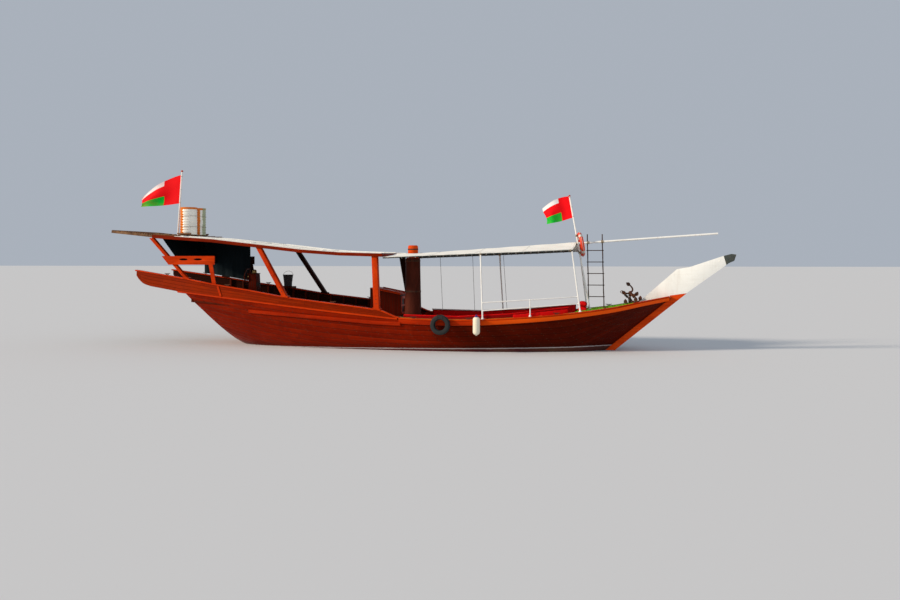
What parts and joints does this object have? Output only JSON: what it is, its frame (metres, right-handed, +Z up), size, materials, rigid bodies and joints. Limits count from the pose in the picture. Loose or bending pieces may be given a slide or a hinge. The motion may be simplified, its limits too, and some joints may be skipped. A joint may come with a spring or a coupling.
{
  "type": "dhow sailing boat",
  "caption": "Wooden dhow afloat with a raised stern shelter, a midship awning over passenger benches, a mast stump, a ladder and a long plank over the bow.",
  "frame": {"origin": "on the centreline at the waterline, close to midships: the waterline mount", "axes": "+X towards the bow, +Y to port, +Z up"},
  "size_m": [20.13, 4.2061, 6.9721],
  "materials": {
    "varnished_wood": "gloss red-brown varnish, weathered",
    "orange_paint": "bright orange oil on bare wood",
    "dark_wood": "dark oiled wood",
    "deck_wood": "worn bare planks",
    "bottom_paint": "matt purple-red antifouling",
    "white_paint": "white gloss paint, worn",
    "grey_paint": "dull dark paint",
    "thatch": "dark weathered slats",
    "white_pipe": "white gloss paint",
    "drum_steel": "cream paint, dented",
    "rusty_iron": "rusty",
    "engine_iron": "grey engine paint",
    "bronze": "dull bronze",
    "canvas": "matt white canvas",
    "tarpaulin": "dark blue-green woven sheet",
    "cushion_red": "red cloth",
    "flag_cloth": "red, white and green bunting",
    "turf": "short green artificial grass",
    "tyre_rubber": "dusty black",
    "buoy_plastic": "orange-red with white bands",
    "fender_vinyl": "cream vinyl with a dark blue end"
  },
  "bodies": {
    "boat": {"hull": "varnished_wood", "transom": "varnished_wood", "keel": "bottom_paint", "stem": "varnished_wood", "gunwale_starboard": "orange_paint", "gunwale_port": "orange_paint", "aft_bulwark_starboard": "varnished_wood", "aft_bulwark_port": "varnished_wood", "aft_deck": "deck_wood", "waist_well": "deck_wood", "foredeck": "deck_wood", "foredeck_turf": "turf", "engine_block": "engine_iron", "bow_plank": "white_paint", "bow_plank_tip": "grey_paint", "stern_post_starboard": "orange_paint", "stern_post_port": "orange_paint", "mid_post_starboard": "orange_paint", "mid_post_port": "orange_paint", "fore_post_starboard": "orange_paint", "fore_post_port": "orange_paint", "side_board_starboard": "orange_paint", "side_board_port": "orange_paint", "roof_frame": "varnished_wood", "aft_roof": "white_paint", "roof_fascia": "orange_paint", "roof_overhang": "thatch", "mast": "dark_wood", "ridge_pole": "white_pipe", "awning_frame": "white_pipe", "mid_pipe_starboard": "white_pipe", "mid_pipe_port": "white_pipe", "fore_pipe_starboard": "white_pipe", "fore_pipe_port": "white_pipe", "awning": "canvas", "weather_curtain": "tarpaulin", "handrail": "white_pipe", "bench_starboard": "varnished_wood", "bench_port": "varnished_wood", "seat_cushion_starboard": "cushion_red", "seat_cushion_port": "cushion_red", "fore_seat": "cushion_red", "bow_flagstaff": "white_pipe", "stern_flagstaff": "white_pipe", "bow_flag": "flag_cloth", "stern_flag": "flag_cloth", "lifebuoy": "buoy_plastic", "ladder": "dark_wood", "water_drums": "drum_steel", "tyre_fender": "tyre_rubber", "cylinder_fender": "fender_vinyl", "grapnel_anchors": "rusty_iron", "companion": "varnished_wood", "helm_pedestal": "varnished_wood"},
    "propeller": {"propeller": "bronze"},
    "rudder": {"rudder": "bottom_paint"},
    "helm_wheel": {"helm_wheel": "varnished_wood"}
  },
  "joints": [
    {"name": "propeller_spin", "type": "hinge", "parent": "boat", "child": "propeller", "pos_m": [-5.78, 0, -0.7], "axis": [1, 0, 0], "continuous": true},
    {"name": "rudder_turn", "type": "hinge", "parent": "boat", "child": "rudder", "pos_m": [-6.29, 0, -0.67], "axis": [0, 0, 1], "range_deg": [-35, 35]},
    {"name": "helm_turn", "type": "hinge", "parent": "boat", "child": "helm_wheel", "pos_m": [-7.04, 0, 2.23], "axis": [1, 0, 0], "range_deg": [-420, 420]}
  ],
  "couplings": [
    {"joint": "helm_turn", "follows": "rudder_turn", "ratio": 12}
  ]
}
